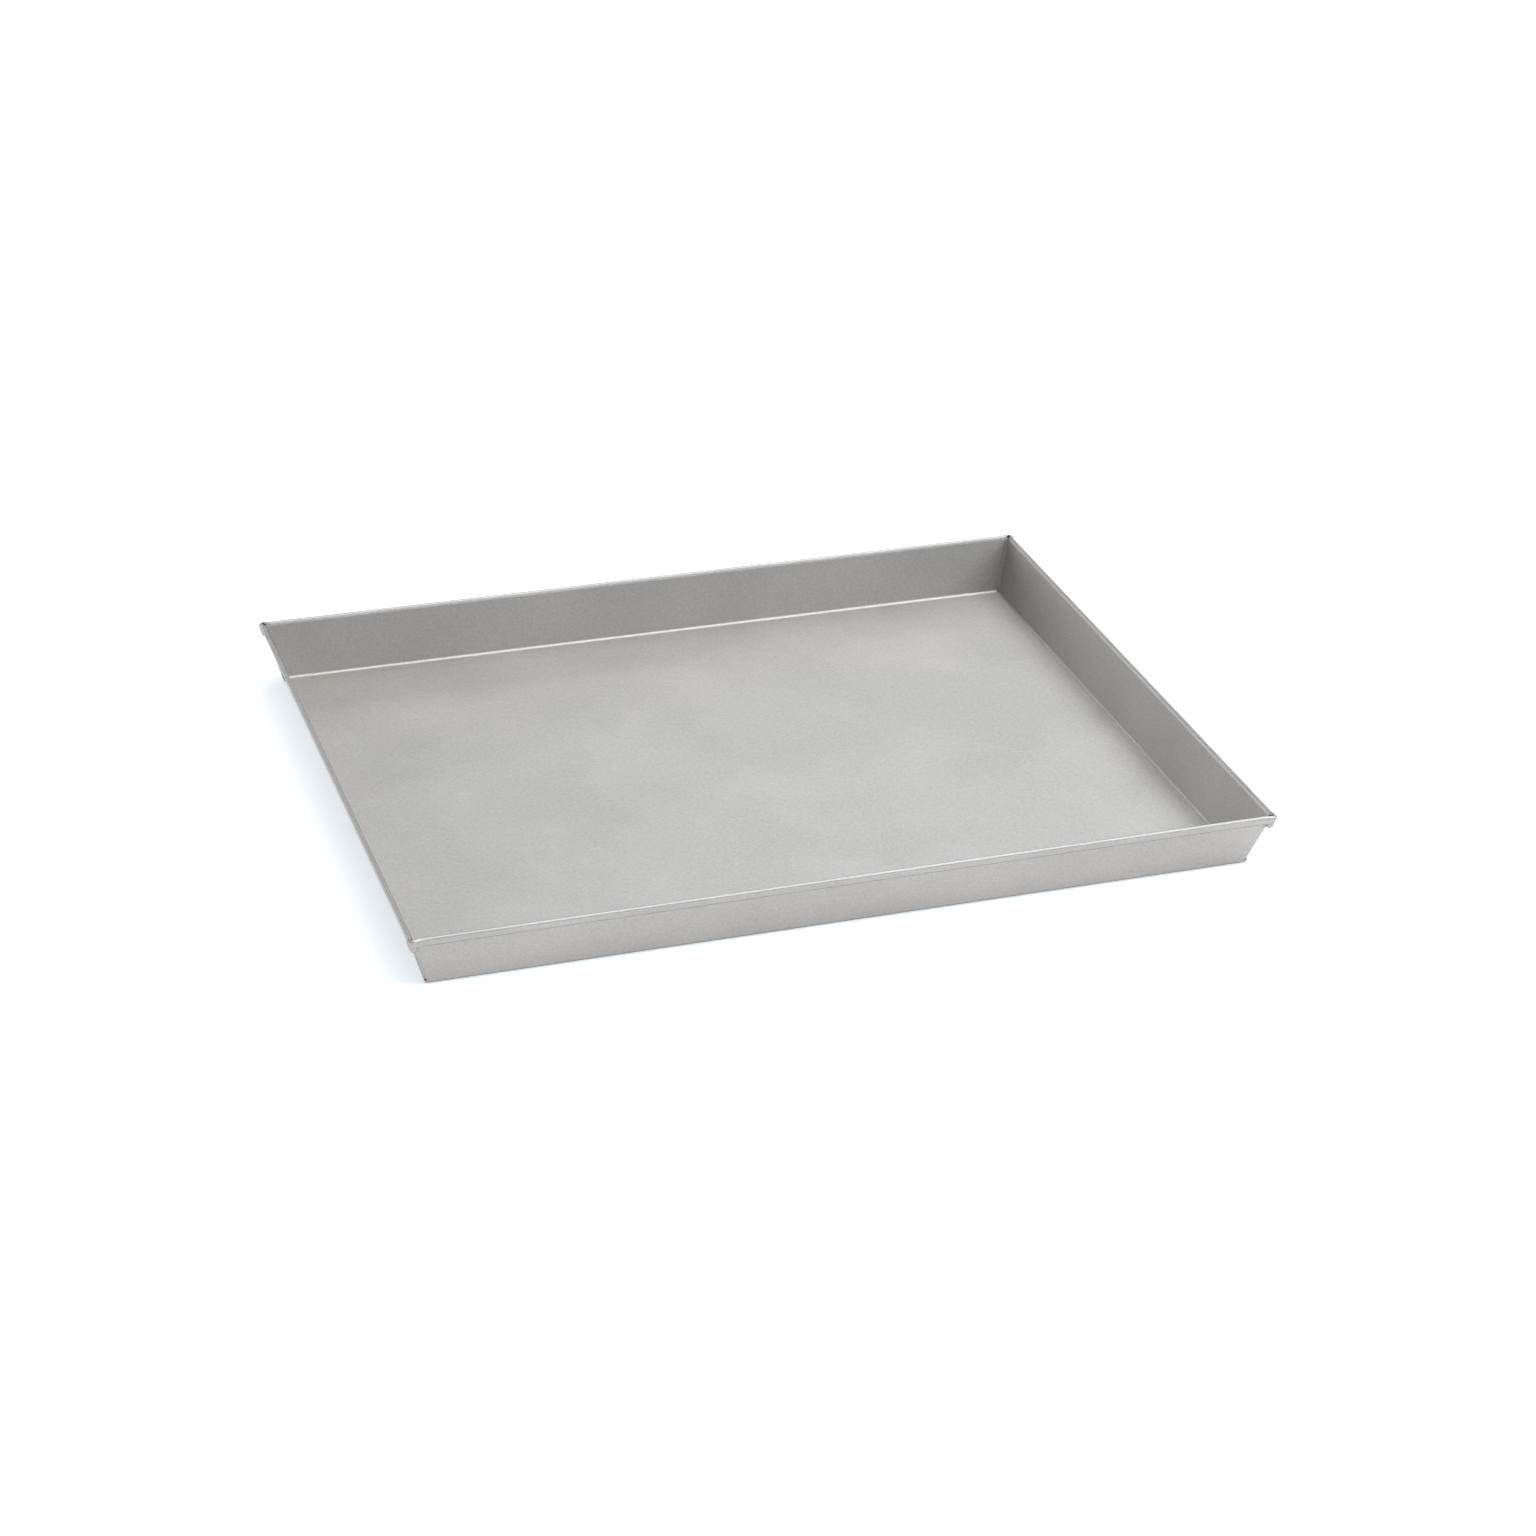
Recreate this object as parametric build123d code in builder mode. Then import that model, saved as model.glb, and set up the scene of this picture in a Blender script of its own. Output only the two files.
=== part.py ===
from build123d import *

import os
from math import acos, atan, cos, degrees, radians, sin, tan

# A cookie sheet folded from one blank of coated sheet steel: a flat floor, four walls that lean out,
# pinched corners whose ears lie flat on the outside of the two short walls, and a flattened hem.
# Each node is one panel, bend, fold or hem of that blank, cut off on its fold line.
# Millimetres, +Z up. The origin is the middle of the underside, +X runs along the long side and
# +Y towards the back. Every corner is modelled as the back right one and mirrored to its place.

# Overall sizes, outside the straight hems and up to their crest
rim_length = 420.0
rim_width = 342.0
height = 29.5

# Sheet and walls, the lean in degrees from upright
sheet = 0.5
wall_lean = 16.6
bend_radius = 1.8

# Hem: crest to lower edge, and the play in its roll beside the two layers of an ear
hem_depth = 4.1
hem_play = 0.4

# Pinched corner: the open slit between a short wall's end fold and the long wall, and the width of
# the ear's foot on the bottom bend
corner_slit = 1.2
ear_foot = 0.6

# Hem corner: how far it swells past the straight hem, its outside radius, the lead into it, and how
# far the round nose of piled up layers hangs below its lip
hem_swell = 0.7
hem_corner_radius = 3.2
hem_lead_radius = 10.0
hem_nose_depth = 3.2

# How far a cutting solid runs past what it cuts
overrun = 8.0

# Bottom bend, and how far along the floor and up the slope it reaches from the walls' base lines
lean = radians(wall_lean)
outer_bend = bend_radius + sheet
bend_angle = 90 - wall_lean
bend_reach = outer_bend * tan(radians(bend_angle) / 2)

# Roll of the hem, and lengths up the slope to its centre and to the lower edge of its lip
roll_radius = sheet + hem_play / 2
roll_outer = roll_radius + sheet
roll_height = height - roll_outer
wall_rise = (roll_height + roll_radius * sin(lean)) / cos(lean)
lip_rise = (height - hem_depth + (roll_radius + roll_outer) * sin(lean)) / cos(lean)
lip_length = wall_rise - lip_rise

# Base lines, where the outer faces of the walls would meet the underside
roll_shift = wall_rise * sin(lean) + roll_radius * cos(lean)
base_half_length = rim_length / 2 - roll_outer - roll_shift
base_half_width = rim_width / 2 - roll_outer - roll_shift

# Corner edge: its slant within a wall, and the angle between the outward faces of two walls
edge_slant = atan(sin(lean))
face_angle = acos(sin(lean) ** 2)
edge_direction = Vector(tan(lean), tan(lean), 1).normalized()
side_normal = Vector(cos(lean), 0, -sin(lean))
side_rise = Vector(sin(lean), 0, cos(lean))
end_normal = Vector(0, cos(lean), -sin(lean))

# Planes of the back right corner: across its edge, on the right wall and across that wall's top
corner = Vector(base_half_length, base_half_width, 0)
across_edge = Plane(origin=corner, x_dir=side_normal, z_dir=edge_direction)
on_right_wall = Plane(origin=corner, x_dir=(0, 1, 0), z_dir=side_normal)
at_hem_start = Plane(origin=corner + side_rise * wall_rise, x_dir=(0, 1, 0), z_dir=side_rise)

# The long wall turns the corner round this centre and runs on as the ear's outer layer
turn_out = 2 * sheet - outer_bend
turn_back = (-outer_bend - turn_out * cos(face_angle)) / sin(face_angle)
turn_side = (turn_out + outer_bend * cos(face_angle)) / sin(face_angle)
long_wall_start = turn_side / cos(edge_slant)
outer_ear_start = turn_back / cos(edge_slant)

# The short wall folds back on itself along a line that stays clear of the long wall by the slit
fold_back = -(2 * sheet + corner_slit) / sin(face_angle)
short_wall_start = fold_back / cos(edge_slant)

# Crease of the ear, which starts its foot's width from the short wall's fold line
crease_slant = radians(45) - 2 * edge_slant
crease_start = short_wall_start + bend_reach * sin(lean) - ear_foot
crease_end = crease_start - (wall_rise - bend_reach) * tan(crease_slant)

# Tip of the pinch, a pressed corner that reaches past both bottom bends
tip_reach = bend_reach - short_wall_start
tip_height = outer_bend

# Path of the hem's roll round a corner: out along a lead, round the corner and back along a lead
knob_radius = hem_corner_radius - roll_outer
lead_angle = acos(1 - hem_swell / (hem_lead_radius + knob_radius))
lead_length = (hem_lead_radius + knob_radius) * sin(lead_angle)
roll_half_length = rim_length / 2 - roll_outer
roll_half_width = rim_width / 2 - roll_outer
hem_half_length = roll_half_length + hem_swell - knob_radius - lead_length
hem_half_width = roll_half_width + hem_swell - knob_radius - lead_length
knob_centre = (hem_half_length + lead_length, hem_half_width + lead_length)

corner_mirrors = {
    "back_right": (),
    "back_left": (Plane.YZ,),
    "front_right": (Plane.XZ,),
    "front_left": (Plane.YZ, Plane.XZ),
}


def edge_line(rise, start):
    """Point on a wall's face at this rise, on the line along the corner edge that begins at start."""
    return (start + rise * sin(lean), rise)


def bend_section(plane):
    """Section of a bottom bend, drawn about the base line of its wall."""
    with BuildSketch(plane) as section:
        with BuildLine():
            outside = CenterArc((-bend_reach, outer_bend), outer_bend, -90, bend_angle)
            inside = CenterArc((-bend_reach, outer_bend), bend_radius, -90, bend_angle)
            Line(outside @ 0, inside @ 0)
            Line(outside @ 1, inside @ 1)
        make_face()
    return section.sketch


def wall_panel(plane, half_length, end_start):
    """Flat wall above its bend, drawn on its outer face between its two slanting ends."""
    low_end, low_rise = edge_line(bend_reach, half_length + end_start)
    top_end, top_rise = edge_line(wall_rise, half_length + end_start)
    with BuildPart() as panel:
        with BuildSketch(plane):
            with BuildLine():
                Polyline(
                    (-low_end, low_rise),
                    (low_end, low_rise),
                    (top_end, top_rise),
                    (-top_end, top_rise),
                    close=True,
                )
            make_face()
        extrude(amount=sheet)
        add(tip_spaces.part, mode=Mode.SUBTRACT)
    return panel.part


def ear_layer(plane, end_start):
    """One flat layer of an ear, drawn on its inner face between the crease and the end line."""
    with BuildPart() as layer:
        with BuildSketch(plane):
            with BuildLine():
                Polyline(
                    (crease_start, bend_reach),
                    (crease_end, wall_rise),
                    edge_line(wall_rise, end_start),
                    edge_line(bend_reach, end_start),
                    close=True,
                )
            make_face()
        extrude(amount=sheet)
    return layer.part


def roll_point(rise, out):
    """Point of the hem's section: lengths up the slope and outward from the centre of its roll."""
    return (rise * sin(lean) + out * cos(lean), rise * cos(lean) - out * sin(lean))


def hem_section(plane):
    """Section of a straight hem about the centre of its roll: over the wall, round and down the lip."""
    with BuildSketch(plane) as section:
        with BuildLine():
            outside = CenterArc((0, 0), roll_outer, 180 - wall_lean, -180)
            inside = CenterArc((0, 0), roll_radius, 180 - wall_lean, -180)
            Polyline(
                outside @ 1,
                roll_point(-lip_length, roll_outer),
                roll_point(-lip_length, roll_radius),
                inside @ 1,
            )
            Line(inside @ 0, outside @ 0)
        make_face()
    return section.sketch


def open_hem_section(plane):
    """Section of the hem at a corner: only the half past its crest, pressed square on the inside."""
    with BuildSketch(plane) as section:
        with BuildLine():
            outside = CenterArc((0, 0), roll_outer, bend_angle, -90)
            Polyline(
                outside @ 1,
                roll_point(-lip_length, roll_outer),
                roll_point(-lip_length, roll_radius),
                roll_point(0, roll_radius),
                roll_point(roll_radius, 0),
                outside @ 0,
            )
        make_face()
    return section.sketch


def hand_in(part, name):
    """Labels a finished piece and writes it."""
    part.label = name
    export_step(part, f"parts/{name}.step")


def hand_in_pair(part, name, mirrored_name, plane):
    """Writes a piece and its mirror image on the opposite side."""
    hand_in(part, name)
    with BuildPart() as piece:
        mirror(part, about=plane)
    hand_in(piece.part, mirrored_name)


def hand_in_corners(part, name):
    """Writes the back right piece and its mirror images at the other three corners."""
    for corner_name, mirrors in corner_mirrors.items():
        with BuildPart() as piece:
            add(part)
            for plane in mirrors:
                mirror(about=plane, mode=Mode.REPLACE)
        hand_in(piece.part, f"{corner_name}_{name}")


os.makedirs("parts", exist_ok=True)

# Spaces of the four tips, which the floor and the walls leave free
tip_span = tip_reach + overrun
tip_centre = (overrun - tip_reach) / 2
with BuildPart() as tip_spaces:
    with BuildSketch(Plane.XY.offset(-overrun)):
        with GridLocations(2 * (base_half_length + tip_centre), 2 * (base_half_width + tip_centre), 2, 2):
            Rectangle(tip_span, tip_span)
    extrude(amount=tip_height + overrun)

# Floor, between the bottom bends
with BuildPart() as floor_panel:
    with BuildSketch():
        Rectangle(2 * (base_half_length - bend_reach), 2 * (base_half_width - bend_reach))
    extrude(amount=sheet)
    add(tip_spaces.part, mode=Mode.SUBTRACT)
hand_in(floor_panel.part, "floor_panel")

# Bottom bends, between the tips
right_base_line = Plane(origin=(base_half_length, 0, 0), x_dir=(1, 0, 0), z_dir=(0, -1, 0))
with BuildPart() as right_bend:
    extrude(bend_section(right_base_line), amount=base_half_width - tip_reach, both=True)
hand_in_pair(right_bend.part, "right_bend", "left_bend", Plane.YZ)

back_base_line = Plane(origin=(0, base_half_width, 0), x_dir=(0, 1, 0), z_dir=(1, 0, 0))
with BuildPart() as back_bend:
    extrude(bend_section(back_base_line), amount=base_half_length - tip_reach, both=True)
hand_in_pair(back_bend.part, "back_bend", "front_bend", Plane.XZ)

# Walls: the short ones end at their folds, the long ones where they turn the corners
into_right_wall = Plane(origin=(base_half_length, 0, 0), x_dir=(0, -1, 0), z_dir=-side_normal)
right_wall = wall_panel(into_right_wall, base_half_width, short_wall_start)
hand_in_pair(right_wall, "right_wall", "left_wall", Plane.YZ)

into_back_wall = Plane(origin=(0, base_half_width, 0), x_dir=(1, 0, 0), z_dir=-end_normal)
back_wall = wall_panel(into_back_wall, base_half_length, long_wall_start)
hand_in_pair(back_wall, "back_wall", "front_wall", Plane.XZ)

# Tip of the pinch: the pressed corner under the ear, three sheets thick on the short wall's side
inside_shift = sheet * tan(lean) - sheet / cos(lean)
with BuildPart() as tip_hollow:
    with BuildSketch(Plane.XY.offset(sheet)):
        with Locations((base_half_length + inside_shift, base_half_width + inside_shift)):
            Rectangle(tip_span, tip_span, align=(Align.MAX, Align.MAX))
    extrude(amount=tip_height, taper=-wall_lean)
    foot = tip_hollow.faces().sort_by(Axis.Z)[0].edges()
    fillet(foot.group_by(Axis.X)[-1] + foot.group_by(Axis.Y)[-1], bend_radius)
with BuildPart() as base_corner:
    with BuildSketch():
        with Locations((base_half_length + 2 * sheet / cos(lean), base_half_width)):
            Rectangle(tip_span, tip_span, align=(Align.MAX, Align.MAX))
    extrude(amount=tip_height, taper=-wall_lean)
    foot = base_corner.faces().sort_by(Axis.Z)[0].edges()
    upright = base_corner.edges().filter_by(Axis((0, 0, 0), edge_direction))
    fillet(foot.group_by(Axis.X)[-1] + foot.group_by(Axis.Y)[-1] + upright, outer_bend)
    add(tip_hollow.part, mode=Mode.SUBTRACT)
    add(tip_spaces.part, mode=Mode.INTERSECT)
hand_in_corners(base_corner.part, "base_corner")

# Inner layer of the ear, with the fold that joins it to the end of the short wall
edge_run = (height + 2 * overrun) / cos(lean)
with BuildPart() as inner_ear:
    with BuildSketch(across_edge.offset(-overrun)):
        with BuildLine():
            fold = CenterArc((0, fold_back), sheet, 0, 180)
            Line(fold @ 1, fold @ 0)
        make_face()
    extrude(amount=edge_run)
    add(ear_layer(on_right_wall, short_wall_start))
    split(bisect_by=at_hem_start, keep=Keep.BOTTOM)
    split(bisect_by=Plane.XY.offset(tip_height), keep=Keep.TOP)
hand_in_corners(inner_ear.part, "inner_ear")

# Outer layer of the ear, with the crease that joins it to the inner layer
crease_direction = on_right_wall.y_dir * cos(crease_slant) - on_right_wall.x_dir * sin(crease_slant)
crease_foot = on_right_wall.from_local_coords((crease_start, bend_reach, sheet))
with BuildPart() as outer_ear:
    with BuildSketch(Plane(origin=crease_foot, x_dir=side_normal, z_dir=crease_direction)):
        with BuildLine():
            crease = CenterArc((0, 0), sheet, 180, 180)
            Line(crease @ 1, crease @ 0)
        make_face()
    extrude(amount=edge_run)
    add(ear_layer(on_right_wall.offset(sheet), outer_ear_start))
    split(bisect_by=at_hem_start, keep=Keep.BOTTOM)
    split(bisect_by=Plane.XY.offset(tip_height), keep=Keep.TOP)
hand_in_corners(outer_ear.part, "outer_ear")

# Turn of the long wall round the corner, open to the pocket inside it
with BuildPart() as corner_turn:
    with BuildSketch(across_edge.offset(-overrun)):
        with BuildLine():
            outside = CenterArc((turn_out, turn_back), outer_bend, 0, degrees(face_angle))
            inside = CenterArc((turn_out, turn_back), bend_radius, 0, degrees(face_angle))
            Line(outside @ 0, inside @ 0)
            Line(outside @ 1, inside @ 1)
        make_face()
    extrude(amount=edge_run)
    split(bisect_by=Plane.XY.offset(roll_height), keep=Keep.BOTTOM)
    split(bisect_by=Plane.XY.offset(tip_height), keep=Keep.TOP)
hand_in_corners(corner_turn.part, "corner_turn")

# Straight hems, rolled outward over the walls and pressed down
right_roll_line = Plane(origin=(roll_half_length, 0, roll_height), x_dir=(1, 0, 0), z_dir=(0, -1, 0))
with BuildPart() as right_hem:
    extrude(hem_section(right_roll_line), amount=hem_half_width, both=True)
hand_in_pair(right_hem.part, "right_hem", "left_hem", Plane.YZ)

back_roll_line = Plane(origin=(0, roll_half_width, roll_height), x_dir=(0, 1, 0), z_dir=(1, 0, 0))
with BuildPart() as back_hem:
    extrude(hem_section(back_roll_line), amount=hem_half_length, both=True)
hand_in_pair(back_hem.part, "back_hem", "front_hem", Plane.XZ)

# Nose under the knob of a hem corner, rounded in two steps, and hollow where the wall, the turn and
# the ear run up into it
lip_out, lip_drop = roll_point(-lip_length, roll_outer)
nose_radius = knob_radius + lip_out - sheet / 2
nose_round = [
    (nose_radius * sin(turn), nose_radius * (1 - cos(turn)) - hem_nose_depth)
    for turn in (0, radians(45), radians(90))
]
nose_foot = Plane(origin=(*knob_centre, roll_height + lip_drop), x_dir=(1, 0, 0), z_dir=(0, -1, 0))
with BuildPart() as hem_nose:
    with BuildSketch(nose_foot):
        with BuildLine():
            Polyline(*nose_round, (nose_radius, sheet), (0, sheet), close=True)
        make_face()
    revolve(axis=Axis((*knob_centre, 0), (0, 0, 1)))
    with BuildSketch(across_edge.offset(-overrun)):
        with BuildLine():
            outside = CenterArc((turn_out, turn_back), outer_bend, 0, degrees(face_angle))
            along_long_wall = (-overrun * sin(face_angle), overrun * cos(face_angle))
            Polyline(
                outside @ 0,
                (2 * sheet, -overrun),
                (-overrun, -overrun),
                outside @ 1 + along_long_wall,
                outside @ 1,
            )
        make_face()
    extrude(amount=edge_run, mode=Mode.SUBTRACT)

# Hem corner: each stretch turns about an upright axis, as centre, radius, start and turn in degrees,
# and a negative turn swings about a centre outside the tray
lead_turn = degrees(lead_angle)
stretches = (
    ((roll_half_length + hem_lead_radius, hem_half_width), hem_lead_radius, 180, -lead_turn),
    (knob_centre, knob_radius, -lead_turn, 90 + 2 * lead_turn),
    ((hem_half_length, roll_half_width + hem_lead_radius), hem_lead_radius, lead_turn - 90, -lead_turn),
)
with BuildPart() as hem_corner:
    for centre, radius, start, turn in stretches:
        side = 1 if turn > 0 else -1
        radial = Vector(cos(radians(start)), sin(radians(start)), 0)
        place = Vector(*centre, roll_height) + radial * radius
        outward = radial * side
        across_hem = Plane(origin=place, x_dir=outward, z_dir=outward.cross(Vector(0, 0, 1)))
        upright_axis = Axis((*centre, 0), (0, 0, side))
        revolve(open_hem_section(across_hem), axis=upright_axis, revolution_arc=abs(turn))
    add(hem_nose.part)
hand_in_corners(hem_corner.part, "hem_corner")
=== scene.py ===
from math import acos, cos, pi, radians, sin

import bmesh
import bpy
from mathutils import Matrix, Vector


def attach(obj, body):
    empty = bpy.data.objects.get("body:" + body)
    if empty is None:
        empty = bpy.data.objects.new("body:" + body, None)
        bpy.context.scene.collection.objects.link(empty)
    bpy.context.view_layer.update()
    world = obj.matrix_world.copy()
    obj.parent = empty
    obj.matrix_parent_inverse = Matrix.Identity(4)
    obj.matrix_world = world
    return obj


bl_info = {
    "name": "Cookie Sheet",
    "version": (1, 0, 0),
    "blender": (4, 5, 0),
    "location": "View3D > Sidebar > Cookie Sheet",
    "description": "Finishes a folded, coated steel cookie sheet and sets it on a pale studio floor",
    "category": "Object",
}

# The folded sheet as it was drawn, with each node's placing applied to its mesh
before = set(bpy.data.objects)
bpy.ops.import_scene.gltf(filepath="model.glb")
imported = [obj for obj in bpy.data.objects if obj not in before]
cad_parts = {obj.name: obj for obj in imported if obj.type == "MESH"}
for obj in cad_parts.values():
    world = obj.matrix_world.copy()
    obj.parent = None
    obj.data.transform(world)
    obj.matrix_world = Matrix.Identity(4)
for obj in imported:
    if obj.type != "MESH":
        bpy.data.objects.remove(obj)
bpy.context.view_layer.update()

SIDES = ("back", "front", "left", "right")
CORNERS = ("back_left", "back_right", "front_left", "front_right")

# Soft boxes: degrees turned from straight behind towards the right, degrees up, brightness of the face
SOFT_BOXES = {
    "low_box_behind": (0, 15, 1.25),
    "low_box_behind_left": (315, 15, 2.4),
    "low_box_front": (165, 15, 0.75),
    "middle_box_behind_right": (30, 40, 1.5),
    "middle_box_front_right": (120, 40, 4.1),
    "high_box_behind_right": (45, 65, 2.1),
    "high_box_right": (90, 65, 2.3),
    "high_box_front": (180, 65, 3.9),
    "low_box_left": (270, 15, 1.6),
}

# Detail of the noises and the part of their range that is used
GRAIN_DETAIL = 2.0
PATCH_DETAIL = 3.0
NOISE_LOW = 0.3
NOISE_HIGH = 0.7

# Steps of the turned pieces, and the angle from which an edge is sharp
LEAD_STEPS = 6
KNOB_STEPS = 14
ROLL_STEPS = 8
SHARP_ANGLE = radians(40)

# Nearest thing that the camera still sees, in metres
CAMERA_CLIP = 0.01


def nodes_of(places, piece):
    """The drawn nodes of one kind of piece, one for each side or corner."""
    return [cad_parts[f"{place}_{piece}"] for place in places]


class CookieSheetHem(bpy.types.PropertyGroup):
    """Roll of the hem, the way it is carried round a corner, and the painted light and shade on and under
    it.
    """

    rim_length: bpy.props.FloatProperty(
        name="Rim length",
        description="Length over the straight hems",
        unit="LENGTH",
        subtype="DISTANCE",
        default=0.420,
    )
    rim_width: bpy.props.FloatProperty(
        name="Rim width",
        description="Width over the straight hems",
        unit="LENGTH",
        subtype="DISTANCE",
        default=0.342,
    )
    crest_height: bpy.props.FloatProperty(
        name="Crest height",
        description="Height of the hem's crest above the underside",
        unit="LENGTH",
        subtype="DISTANCE",
        default=0.0295,
    )
    roll_radius: bpy.props.FloatProperty(
        name="Roll radius",
        description="Outside radius of the hem's roll",
        unit="LENGTH",
        subtype="DISTANCE",
        default=0.0012,
    )
    sheet: bpy.props.FloatProperty(
        name="Sheet",
        description="Thickness of the steel sheet",
        unit="LENGTH",
        subtype="DISTANCE",
        default=0.0005,
    )
    wall_lean: bpy.props.FloatProperty(
        name="Wall lean",
        description="Angle that the walls lean out from upright",
        subtype="ANGLE",
        unit="ROTATION",
        default=radians(16.6),
    )
    knob_radius: bpy.props.FloatProperty(
        name="Knob radius",
        description="Radius that the middle of the roll turns round a corner with",
        unit="LENGTH",
        subtype="DISTANCE",
        default=0.002,
    )
    lead_radius: bpy.props.FloatProperty(
        name="Lead radius",
        description="Radius that the middle of the roll swings out to a corner with",
        unit="LENGTH",
        subtype="DISTANCE",
        default=0.010,
    )
    knob_closed: bpy.props.FloatProperty(
        name="Knob closed",
        description="How much of the roll's inner half is closed over the slit inside a corner",
        subtype="FACTOR",
        min=0.0,
        max=1.0,
        default=0.35,
    )
    swell: bpy.props.FloatProperty(
        name="Swell",
        description="How far a corner's knob stands out past the straight hem",
        unit="LENGTH",
        subtype="DISTANCE",
        default=0.0007,
    )
    # Painted shadow: a dark band painted on the outside of the walls just under the hem's lip, between these
    # heights
    shadow_line_low: bpy.props.FloatProperty(
        name="Hem line low",
        description="Height of the lower edge of the dark line under the hem",
        unit="LENGTH",
        subtype="DISTANCE",
        default=0.0239,
    )
    shadow_line_high: bpy.props.FloatProperty(
        name="Hem line high",
        description="Height of the upper edge of the dark line under the hem",
        unit="LENGTH",
        subtype="DISTANCE",
        default=0.0257,
    )
    # Painted highlight: the inside of the fold is painted brighter from this height up to the crest
    fold_highlight_low: bpy.props.FloatProperty(
        name="Fold low",
        description="Height that the bright coating on the inside of the fold starts at",
        unit="LENGTH",
        subtype="DISTANCE",
        default=0.0278,
    )
    # Painted shade on the crest starts at this height, and the painted highlight inside the fold stops here
    crest_low: bpy.props.FloatProperty(
        name="Crest low",
        description="Height that the duller top of the hem starts at",
        unit="LENGTH",
        subtype="DISTANCE",
        default=0.02885,
    )
    outside_from: bpy.props.FloatProperty(
        name="Outside from",
        description="How far a face looks outward, in crest heights, where it starts to count as outside",
        default=0.5,
    )
    outside_to: bpy.props.FloatProperty(
        name="Outside to",
        description="How far a face looks outward, in crest heights, where it counts as all outside",
        default=2.0,
    )
    # Painted shade: the top of the hem is painted darker to dull its highlight
    crest_shade_tone: bpy.props.FloatProperty(
        name="Crest tone",
        description="How bright the top of the hem is, as a share of the coating's tone",
        min=0.0,
        max=2.0,
        default=0.87,
    )
    # Painted highlight: how much brighter the inside of the fold is painted
    fold_highlight_tone: bpy.props.FloatProperty(
        name="Fold tone",
        description="How bright the inside of the fold is, as a share of the coating's tone",
        min=0.0,
        max=2.0,
        default=1.4,
    )
    # Painted shadow: how dark the band painted under the hem is
    hem_shadow_tone: bpy.props.FloatProperty(
        name="Hem line tone",
        description="How dark the line under the hem is, as a share of the coating's tone",
        subtype="FACTOR",
        min=0.0,
        max=1.0,
        default=0.62,
    )


class CookieSheetCoating(bpy.types.PropertyGroup):
    """Silver-grey baked coating over the steel, with its grain, its cloudy patches and painted shade in its
    creases.
    """

    tone: bpy.props.FloatVectorProperty(
        name="Tone",
        description="Colour of the coating where it is clean and even",
        subtype="COLOR",
        size=3,
        min=0.0,
        max=1.0,
        default=(0.452, 0.427, 0.403),
    )
    grazing_tone: bpy.props.FloatVectorProperty(
        name="Grazing tone",
        description="Tint of the coating's reflections at a grazing angle",
        subtype="COLOR",
        size=3,
        min=0.0,
        max=1.0,
        default=(0.6, 0.56, 0.52),
    )
    metal_share: bpy.props.FloatProperty(
        name="Metal share",
        description="How much of the coating mirrors light as metal flake does",
        subtype="FACTOR",
        min=0.0,
        max=1.0,
        default=0.9,
    )
    roughness: bpy.props.FloatProperty(
        name="Roughness",
        description="Spread of the coating's reflections",
        subtype="FACTOR",
        min=0.0,
        max=1.0,
        default=0.52,
    )
    grain_size: bpy.props.FloatProperty(
        name="Grain size",
        description="Distance from one grain of the coating to the next",
        unit="LENGTH",
        subtype="DISTANCE",
        min=0.00005,
        default=0.0012,
    )
    grain_depth: bpy.props.FloatProperty(
        name="Grain depth",
        description="Height of the grain above its hollows",
        unit="LENGTH",
        subtype="DISTANCE",
        min=0.0,
        default=0.00001,
    )
    grain_tone: bpy.props.FloatProperty(
        name="Grain tone",
        description="How much a single grain is lighter or darker than the coating",
        subtype="FACTOR",
        min=0.0,
        max=1.0,
        default=0.09,
    )
    grain_roughness: bpy.props.FloatProperty(
        name="Grain roughness",
        description="How much a single grain spreads reflections more or less than the coating",
        subtype="FACTOR",
        min=0.0,
        max=1.0,
        default=0.03,
    )
    # Painted shade: ambient occlusion paints the coating darker in creases and just under the hem
    crease_reach: bpy.props.FloatProperty(
        name="Crease reach",
        description="How far out of a crease or from under the hem its shade reaches",
        unit="LENGTH",
        subtype="DISTANCE",
        min=0.0,
        default=0.002,
    )
    crease_shade_tone: bpy.props.FloatProperty(
        name="Crease tone",
        description="How dark the coating is where a crease closes on it, as a share of its tone",
        subtype="FACTOR",
        min=0.0,
        max=1.0,
        default=0.32,
    )
    patch_size: bpy.props.FloatProperty(
        name="Patch size",
        description="Width of the cloudy patches that spraying and baking leave",
        unit="LENGTH",
        subtype="DISTANCE",
        min=0.001,
        default=0.06,
    )
    patch_tone: bpy.props.FloatProperty(
        name="Patch tone",
        description="How much a patch is lighter or darker than the coating",
        subtype="FACTOR",
        min=0.0,
        max=1.0,
        default=0.05,
    )


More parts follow.
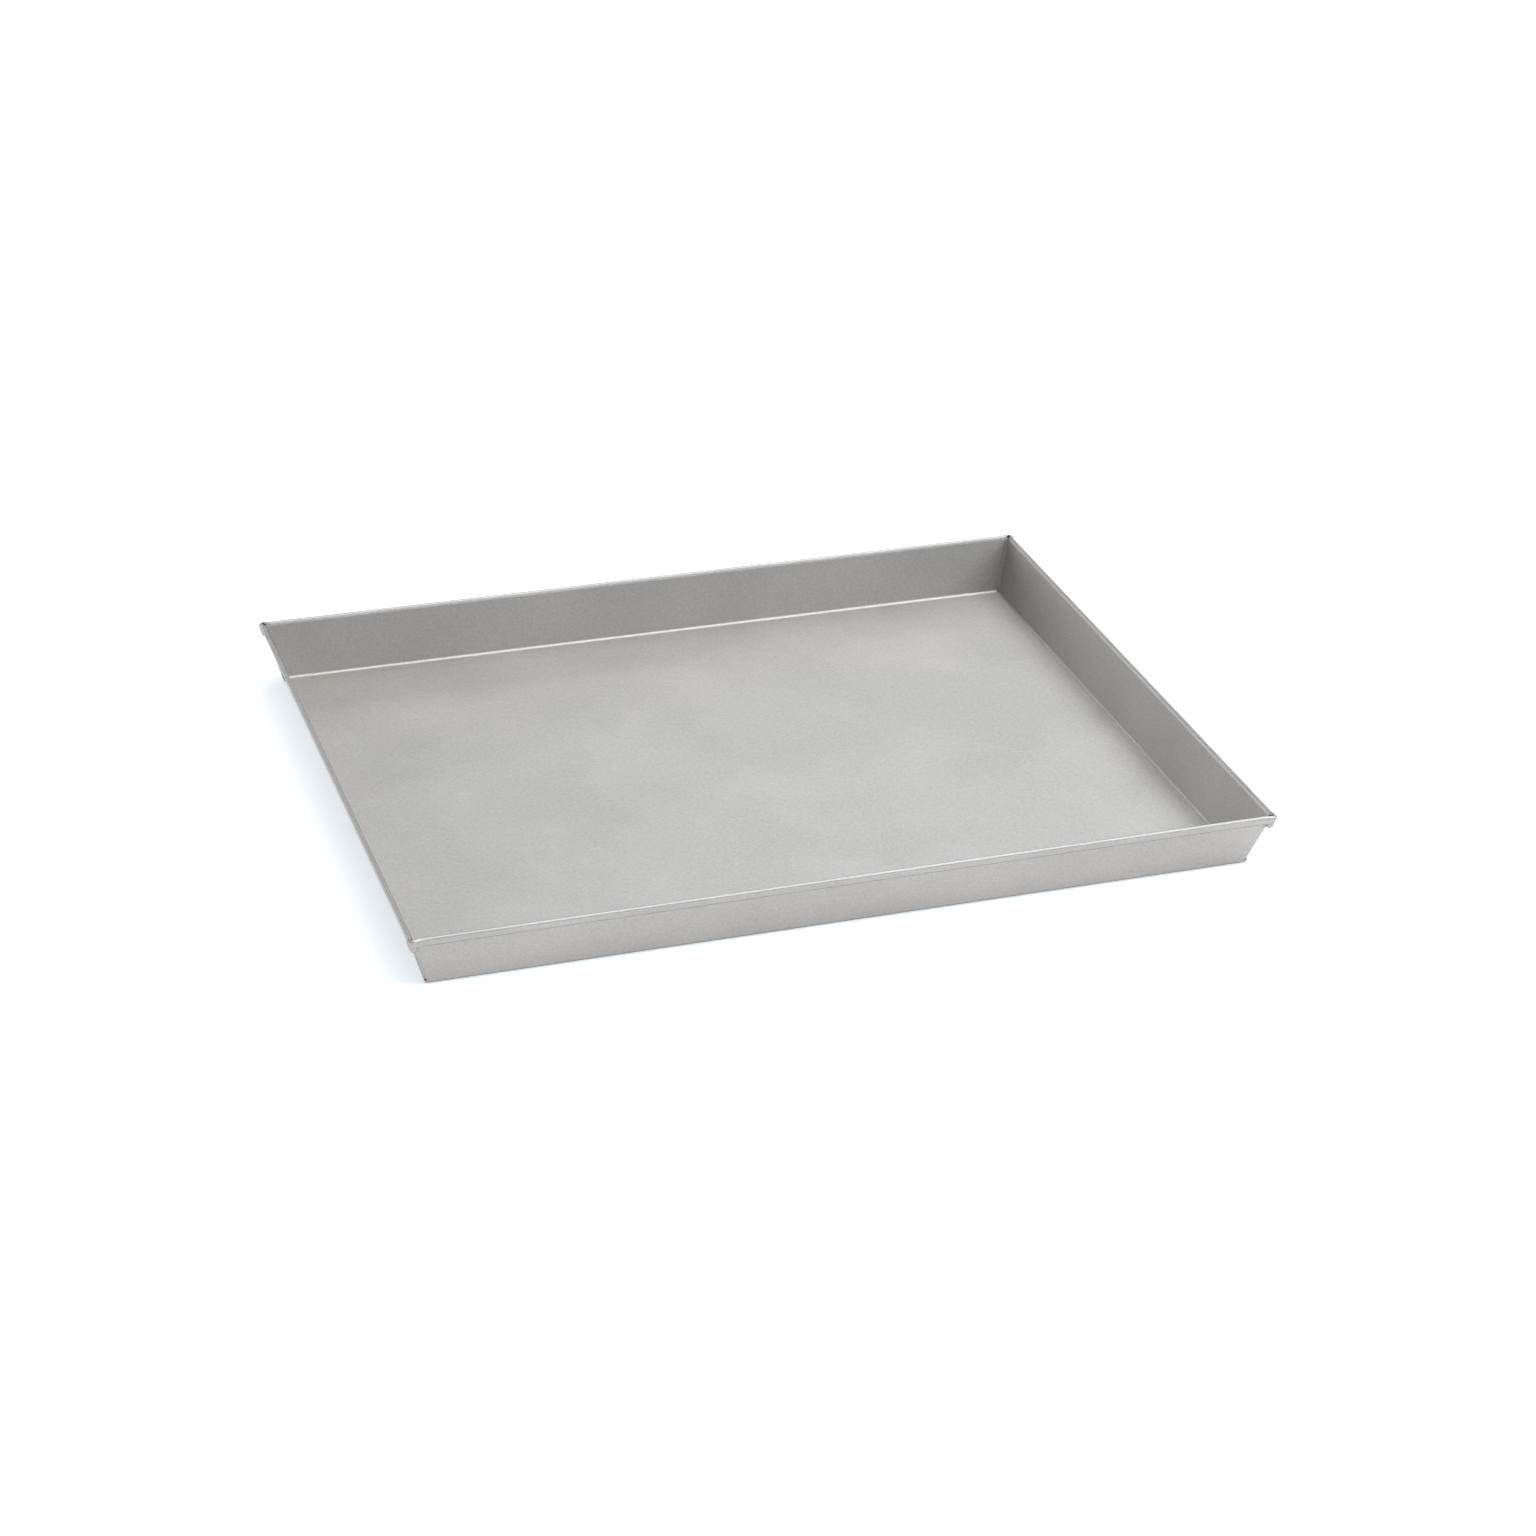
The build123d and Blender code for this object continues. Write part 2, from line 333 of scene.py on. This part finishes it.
class CookieSheetStage(bpy.types.PropertyGroup):
    """Pale floor, soft boxes and the camera."""

    floor_tone: bpy.props.FloatVectorProperty(
        name="Floor tone",
        description="Colour of the studio floor",
        subtype="COLOR",
        size=3,
        min=0.0,
        max=1.0,
        default=(0.62, 0.612, 0.604),
    )
    floor_width: bpy.props.FloatProperty(
        name="Floor width",
        description="Width of the square studio floor",
        unit="LENGTH",
        subtype="DISTANCE",
        min=1.0,
        default=30.0,
    )
    floor_glow: bpy.props.FloatProperty(
        name="Floor glow",
        description="Light that the studio floor gives off itself, as a light table does",
        min=0.0,
        default=0.63,
    )
    floor_roughness: bpy.props.FloatProperty(
        name="Floor roughness",
        description="Spread of the studio floor's reflections",
        subtype="FACTOR",
        min=0.0,
        max=1.0,
        default=0.9,
    )
    floor_gloss: bpy.props.FloatProperty(
        name="Floor gloss",
        description="Strength of the studio floor's reflections",
        subtype="FACTOR",
        min=0.0,
        max=1.0,
        default=0.2,
    )
    floor_gap: bpy.props.FloatProperty(
        name="Floor gap",
        description="Height of the underside above the studio floor",
        unit="LENGTH",
        subtype="DISTANCE",
        min=0.0,
        default=0.0002,
    )
    light_tone: bpy.props.FloatVectorProperty(
        name="Light tone",
        description="Colour of the soft boxes and of the room",
        subtype="COLOR",
        size=3,
        min=0.0,
        max=1.0,
        default=(0.887, 0.942, 1.0),
    )
    room_light: bpy.props.FloatProperty(
        name="Room light",
        description="Strength of the even light from all round",
        min=0.0,
        default=0.03,
    )
    box_light: bpy.props.FloatProperty(
        name="Box light",
        description="Strength of all the soft boxes together",
        min=0.0,
        default=1.2,
    )
    box_distance: bpy.props.FloatProperty(
        name="Box distance",
        description="Distance from the cookie sheet to each soft box",
        unit="LENGTH",
        subtype="DISTANCE",
        min=1.0,
        default=3.0,
    )
    box_width: bpy.props.FloatProperty(
        name="Box width",
        description="Width and height of a soft box",
        unit="LENGTH",
        subtype="DISTANCE",
        min=0.1,
        default=1.8,
    )
    camera_azimuth: bpy.props.FloatProperty(
        name="Camera azimuth",
        description="Direction that the camera stands in, turned from the front towards the right",
        subtype="ANGLE",
        unit="ROTATION",
        default=radians(-18.437),
    )
    camera_elevation: bpy.props.FloatProperty(
        name="Camera elevation",
        description="Angle that the camera looks down at",
        subtype="ANGLE",
        unit="ROTATION",
        default=radians(27.565),
    )
    camera_roll: bpy.props.FloatProperty(
        name="Camera roll",
        description="Tilt of the camera about its line of sight",
        subtype="ANGLE",
        unit="ROTATION",
        default=radians(-1.13),
    )
    camera_distance: bpy.props.FloatProperty(
        name="Camera distance",
        description="Distance from the camera to the plane through the middle of the underside",
        unit="LENGTH",
        subtype="DISTANCE",
        default=1.7884,
    )
    camera_offset: bpy.props.FloatVectorProperty(
        name="Camera offset",
        description="How far the camera stands to the right and down of the line to that middle",
        unit="LENGTH",
        subtype="TRANSLATION",
        size=2,
        default=(0.00244, 0.00034),
    )
    camera_lens: bpy.props.FloatProperty(
        name="Camera lens",
        description="Focal length in millimetres on the sensor width",
        default=83.757,
    )
    camera_sensor: bpy.props.FloatProperty(
        name="Camera sensor",
        description="Sensor width in millimetres",
        default=36.0,
    )
    camera_shift: bpy.props.FloatVectorProperty(
        name="Camera shift",
        description="Shift of the frame, as a share of the sensor width",
        size=2,
        default=(0.0131, -0.0002),
    )


class NodeBoard:
    """Adds and joins the shader nodes of one material."""

    def __init__(self, material):
        self.tree = material.node_tree
        self.tree.nodes.clear()

    def add(self, kind, inputs=None, **settings):
        """A new node whose inputs are values or the outputs of other nodes."""
        node = self.tree.nodes.new(kind)
        for name, value in settings.items():
            setattr(node, name, value)
        for name, value in (inputs or {}).items():
            if isinstance(value, bpy.types.NodeSocket):
                self.tree.links.new(value, node.inputs[name])
            else:
                node.inputs[name].default_value = value
        return node

    def noise(self, place, size, detail):
        """Even noise whose swells are about size apart."""
        inputs = {"Vector": place, "Scale": 1 / size, "Detail": detail}
        return self.add("ShaderNodeTexNoise", inputs).outputs["Fac"]

    def spread(self, noise, middle, reach):
        """The middle of a noise's range, spread by reach to both sides of a middle value."""
        inputs = {
            "Value": noise,
            "From Min": NOISE_LOW,
            "From Max": NOISE_HIGH,
            "To Min": middle - reach,
            "To Max": middle + reach,
        }
        return self.add("ShaderNodeMapRange", inputs).outputs["Result"]

    def math(self, operation, first, second):
        """One operation on two values or outputs."""
        return self.add("ShaderNodeMath", {0: first, 1: second}, operation=operation).outputs["Value"]

    def product(self, *shares):
        """All the shares times each other."""
        total = shares[0]
        for share in shares[1:]:
            total = self.math("MULTIPLY", total, share)
        return total

    def shade(self, share, tone):
        """Full tone where the share is nothing, and this tone where it is one."""
        inputs = {"Value": share, "To Min": 1.0, "To Max": tone}
        return self.add("ShaderNodeMapRange", inputs).outputs["Result"]


def hem_shades(board, place, hem):
    """Painted shadow line under the hem outside, painted highlight inside the fold, painted shade on the
    crest.
    """
    height = board.add("ShaderNodeSeparateXYZ", {"Vector": place}).outputs["Z"]
    normal = board.add("ShaderNodeNewGeometry").outputs["Normal"]
    outward = board.add("ShaderNodeVectorMath", {0: normal, 1: place}, operation="DOT_PRODUCT")
    turned_out = {
        "Value": outward.outputs["Value"],
        "From Min": hem.crest_height * hem.outside_from,
        "From Max": hem.crest_height * hem.outside_to,
    }
    outside = board.add("ShaderNodeMapRange", turned_out).outputs["Result"]
    inside = board.math("SUBTRACT", 1.0, outside)
    above_line = board.math("GREATER_THAN", height, hem.shadow_line_low)
    below_line = board.math("LESS_THAN", height, hem.shadow_line_high)
    above_fold = board.math("GREATER_THAN", height, hem.fold_highlight_low)
    below_crest = board.math("LESS_THAN", height, hem.crest_low)
    on_crest = board.math("GREATER_THAN", height, hem.crest_low)
    # Painted shadow line under the hem, painted highlight inside the fold and painted shade on the crest
    line = board.shade(board.product(above_line, below_line, outside), hem.hem_shadow_tone)
    fold = board.shade(board.product(above_fold, below_crest, inside), hem.fold_highlight_tone)
    return board.product(line, fold, board.shade(on_crest, hem.crest_shade_tone))


def coated_steel(name, settings, hem=None):
    """The baked coating: metal flake, fine grain, cloudy patches, painted crease shade and any hem's painted
    light and shade.
    """
    material = bpy.data.materials.new(name)
    material.use_nodes = True
    board = NodeBoard(material)
    place = board.add("ShaderNodeTexCoord").outputs["Object"]

    grain = board.noise(place, settings.grain_size, GRAIN_DETAIL)
    patches = board.noise(place, settings.patch_size, PATCH_DETAIL)
    grain_tone = board.spread(grain, 1.0, settings.grain_tone)
    patch_tone = board.spread(patches, 1.0, settings.patch_tone)
    # Painted shade: the coating is painted darker where ambient occlusion finds a crease or the hem close by
    open_share = board.add("ShaderNodeAmbientOcclusion", {"Distance": settings.crease_reach}).outputs["AO"]
    crease_shade_tone = board.add("ShaderNodeMapRange", {"Value": open_share, "To Min": settings.crease_shade_tone})
    tone_share = board.product(grain_tone, patch_tone, crease_shade_tone.outputs["Result"])
    if hem:
        tone_share = board.product(tone_share, hem_shades(board, place, hem))
    tone = board.add("ShaderNodeVectorMath", {0: settings.tone, "Scale": tone_share}, operation="SCALE")
    roughness = board.spread(grain, settings.roughness, settings.grain_roughness)
    bump = board.add("ShaderNodeBump", {"Height": grain, "Strength": 1.0, "Distance": settings.grain_depth})
    shader = board.add(
        "ShaderNodeBsdfPrincipled",
        {
            "Base Color": tone.outputs["Vector"],
            "Metallic": settings.metal_share,
            "Roughness": roughness,
            "Specular Tint": (*settings.grazing_tone, 1.0),
            "Normal": bump.outputs["Normal"],
        },
    )
    board.add("ShaderNodeOutputMaterial", {"Surface": shader.outputs["BSDF"]})
    return material


def finish(context, at_hem=False):
    """The coating, made once, with the hem's painted light and shade for pieces at the hem."""
    name = "coated_steel_painted_hem_light_and_shade" if at_hem else "coated_steel_painted_crease_shade"
    hem = context.scene.cookie_hem if at_hem else None
    return bpy.data.materials.get(name) or coated_steel(name, context.scene.cookie_coating, hem)


def finish_nodes(context, nodes, at_hem=False):
    """Gives drawn nodes the coating."""
    material = finish(context, at_hem)
    for node in nodes:
        for slot in node.material_slots:
            slot.material = material


def corner_path(hem):
    """The roll's way round the back right corner: its middle, which way is out and how far it is closed."""
    half_length = hem.rim_length / 2 - hem.roll_radius
    half_width = hem.rim_width / 2 - hem.roll_radius
    reach = hem.lead_radius + hem.knob_radius
    lead = acos(1 - hem.swell / reach)
    swing = reach * sin(lead)
    start_x = half_length + hem.swell - hem.knob_radius - swing
    start_y = half_width + hem.swell - hem.knob_radius - swing
    knob = (start_x + swing, start_y + swing)
    stretches = (
        ((half_length + hem.lead_radius, start_y), hem.lead_radius, pi, -lead, LEAD_STEPS, 0.0),
        (knob, hem.knob_radius, -lead, pi / 2 + 2 * lead, KNOB_STEPS, 1 - hem.knob_closed),
        ((start_x, half_width + hem.lead_radius), hem.lead_radius, lead - pi / 2, -lead, LEAD_STEPS, 0.0),
    )
    path = []
    for centre, radius, start, turn, steps, opening in stretches:
        side = 1 if turn > 0 else -1
        for step in range(steps + 1):
            angle = start + turn * step / steps
            radial = Vector((cos(angle), sin(angle)))
            closed = 1 - opening * sin(pi * step / steps)
            if step or not path:
                path.append((Vector(centre) + radial * radius, radial * side, closed))
    return path


def roll_section(hem, closed):
    """Section of the roll's inner half, as pairs of out and up, from its crest down to the inside."""
    crest = pi / 2 - hem.wall_lean
    turns = [crest + pi / 2 * closed * step / ROLL_STEPS for step in range(ROLL_STEPS + 1)]
    inner_radius = hem.roll_radius - hem.sheet
    outer = [(hem.roll_radius * cos(turn), hem.roll_radius * sin(turn)) for turn in turns]
    inner = [(inner_radius * cos(turn), inner_radius * sin(turn)) for turn in reversed(turns)]
    return outer + inner


def hem_crest(name, corner, hem, material):
    """Inner half of the roll at one corner, partly open over the slit inside it."""
    side_x = 1 if "right" in corner else -1
    side_y = 1 if "back" in corner else -1
    shape = bmesh.new()
    rings = []
    for middle, outward, closed in corner_path(hem):
        ring = []
        for out, up in roll_section(hem, closed):
            place = middle + outward * out
            height = hem.crest_height - hem.roll_radius + up
            ring.append(shape.verts.new((place.x * side_x, place.y * side_y, height)))
        rings.append(ring)
    for ring, following in zip(rings, rings[1:]):
        for index in range(len(ring)):
            before = index - 1
            shape.faces.new((ring[before], ring[index], following[index], following[before]))
    shape.faces.new(rings[0])
    shape.faces.new(rings[-1])
    bmesh.ops.recalc_face_normals(shape, faces=shape.faces)
    for face in shape.faces:
        face.smooth = True
    mesh = bpy.data.meshes.new(name)
    shape.to_mesh(mesh)
    shape.free()
    mesh.set_sharp_from_angle(angle=SHARP_ANGLE)
    mesh.materials.append(material)
    crest = bpy.data.objects.new(name, mesh)
    bpy.context.scene.collection.objects.link(crest)
    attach(crest, "root")


def soft_box(name, settings, azimuth, elevation, brightness):
    """A square area light that faces the cookie sheet from this direction."""
    level = cos(radians(elevation))
    towards = Vector((sin(radians(azimuth)) * level, cos(radians(azimuth)) * level, sin(radians(elevation))))
    light = bpy.data.lights.new(name, "AREA")
    light.shape = "SQUARE"
    light.size = settings.box_width
    light.color = settings.light_tone
    light.energy = pi * settings.box_width**2 * brightness * settings.box_light
    lamp = bpy.data.objects.new(name, light)
    bpy.context.scene.collection.objects.link(lamp)
    lamp.location = towards * settings.box_distance
    lamp.rotation_mode = "QUATERNION"
    lamp.rotation_quaternion = towards.to_track_quat("Z", "Y")


def studio_floor(settings):
    """A wide pale floor just under the cookie sheet."""
    half = settings.floor_width / 2
    gap = settings.floor_gap
    mesh = bpy.data.meshes.new("studio_floor")
    corners = [(-half, -half, -gap), (half, -half, -gap), (half, half, -gap), (-half, half, -gap)]
    mesh.from_pydata(corners, [], [(0, 1, 2, 3)])
    floor = bpy.data.objects.new("studio_floor", mesh)
    bpy.context.scene.collection.objects.link(floor)
    material = bpy.data.materials.new("studio_floor_paint")
    material.use_nodes = True
    board = NodeBoard(material)
    shader = board.add(
        "ShaderNodeBsdfPrincipled",
        {
            "Base Color": (*settings.floor_tone, 1.0),
            "Roughness": settings.floor_roughness,
            "Specular IOR Level": settings.floor_gloss,
            "Emission Color": (*settings.light_tone, 1.0),
            "Emission Strength": settings.floor_glow,
        },
    )
    board.add("ShaderNodeOutputMaterial", {"Surface": shader.outputs["BSDF"]})
    mesh.materials.append(material)


def studio_camera(settings):
    """The camera, standing front left of the cookie sheet and looking down at it."""
    azimuth, elevation = settings.camera_azimuth, settings.camera_elevation
    ahead = Vector((-sin(azimuth) * cos(elevation), cos(azimuth) * cos(elevation), -sin(elevation)))
    level_right = ahead.cross(Vector((0, 0, 1))).normalized()
    level_down = ahead.cross(level_right)
    roll = settings.camera_roll
    right = level_right * cos(roll) + level_down * sin(roll)
    down = level_down * cos(roll) - level_right * sin(roll)
    across, below = settings.camera_offset
    place = right * across + down * below - ahead * settings.camera_distance
    data = bpy.data.cameras.new("studio_camera")
    data.sensor_width = settings.camera_sensor
    data.lens = settings.camera_lens
    data.shift_x, data.shift_y = settings.camera_shift
    data.clip_start = CAMERA_CLIP
    camera = bpy.data.objects.new("studio_camera", data)
    bpy.context.scene.collection.objects.link(camera)
    camera.matrix_world = Matrix.Translation(place) @ Matrix((right, -down, -ahead)).transposed().to_4x4()
    bpy.context.scene.camera = camera


def studio_room(settings):
    """Even light from all round."""
    world = bpy.data.worlds.new("studio_room")
    world.use_nodes = True
    background = world.node_tree.nodes["Background"]
    background.inputs["Color"].default_value = (*settings.light_tone, 1.0)
    background.inputs["Strength"].default_value = settings.room_light
    bpy.context.scene.world = world


class COOKIESHEET_OT_floor_panel(bpy.types.Operator):
    """Finish the flat floor of the cookie sheet"""

    bl_idname = "cookiesheet.floor_panel"
    bl_label = "Floor Panel"

    def execute(self, context):
        finish_nodes(context, [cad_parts["floor_panel"]])
        return {"FINISHED"}


class COOKIESHEET_OT_bottom_bends(bpy.types.Operator):
    """Finish the bends between the floor and the walls"""

    bl_idname = "cookiesheet.bottom_bends"
    bl_label = "Bottom Bends"

    def execute(self, context):
        finish_nodes(context, nodes_of(SIDES, "bend"))
        return {"FINISHED"}


class COOKIESHEET_OT_walls(bpy.types.Operator):
    """Finish the four leaning walls"""

    bl_idname = "cookiesheet.walls"
    bl_label = "Walls"

    def execute(self, context):
        # The walls take the coating with the hem's painted shadow line, highlight and shade
        finish_nodes(context, nodes_of(SIDES, "wall"), at_hem=True)
        return {"FINISHED"}


class COOKIESHEET_OT_hems(bpy.types.Operator):
    """Finish the rolled hems and their corners"""

    bl_idname = "cookiesheet.hems"
    bl_label = "Hems"

    def execute(self, context):
        finish_nodes(context, nodes_of(SIDES, "hem"), at_hem=True)
        finish_nodes(context, nodes_of(CORNERS, "hem_corner"))
        for corner in CORNERS:
            hem_crest(f"{corner}_hem_crest", corner, context.scene.cookie_hem, finish(context, at_hem=True))
        return {"FINISHED"}


class COOKIESHEET_OT_corner_folds(bpy.types.Operator):
    """Finish the turned corners, their ears and the pressed tips under them"""

    bl_idname = "cookiesheet.corner_folds"
    bl_label = "Corner Folds"

    def execute(self, context):
        for piece in ("corner_turn", "outer_ear", "inner_ear", "base_corner"):
            finish_nodes(context, nodes_of(CORNERS, piece))
        return {"FINISHED"}


class COOKIESHEET_OT_stage(bpy.types.Operator):
    """Set the floor, the lights and the camera"""

    bl_idname = "cookiesheet.stage"
    bl_label = "Stage"

    def execute(self, context):
        settings = context.scene.cookie_stage
        studio_floor(settings)
        studio_room(settings)
        for name, (azimuth, elevation, brightness) in SOFT_BOXES.items():
            soft_box(name, settings, azimuth, elevation, brightness)
        studio_camera(settings)
        context.scene.view_settings.view_transform = "Standard"
        return {"FINISHED"}


class COOKIESHEET_PT_panel(bpy.types.Panel):
    """Lists the pieces and the stage"""

    bl_idname = "COOKIESHEET_PT_panel"
    bl_label = "Cookie Sheet"
    bl_space_type = "VIEW_3D"
    bl_region_type = "UI"
    bl_category = "Cookie Sheet"

    def draw(self, context):
        column = self.layout.column()
        for operator in OPERATORS:
            column.operator(operator.bl_idname)


SETTINGS = {
    "cookie_hem": CookieSheetHem,
    "cookie_coating": CookieSheetCoating,
    "cookie_stage": CookieSheetStage,
}
OPERATORS = (
    COOKIESHEET_OT_floor_panel,
    COOKIESHEET_OT_bottom_bends,
    COOKIESHEET_OT_walls,
    COOKIESHEET_OT_hems,
    COOKIESHEET_OT_corner_folds,
    COOKIESHEET_OT_stage,
)


def register():
    for name, group in SETTINGS.items():
        bpy.utils.register_class(group)
        setattr(bpy.types.Scene, name, bpy.props.PointerProperty(type=group))
    for operator in OPERATORS:
        bpy.utils.register_class(operator)
    bpy.utils.register_class(COOKIESHEET_PT_panel)


def unregister():
    bpy.utils.unregister_class(COOKIESHEET_PT_panel)
    for operator in reversed(OPERATORS):
        bpy.utils.unregister_class(operator)
    for name, group in reversed(SETTINGS.items()):
        delattr(bpy.types.Scene, name)
        bpy.utils.unregister_class(group)


def main():
    register()
    bpy.ops.cookiesheet.stage()
    bpy.ops.cookiesheet.floor_panel()
    bpy.ops.cookiesheet.bottom_bends()
    bpy.ops.cookiesheet.walls()
    bpy.ops.cookiesheet.hems()
    bpy.ops.cookiesheet.corner_folds()


if __name__ == "__main__":
    main()
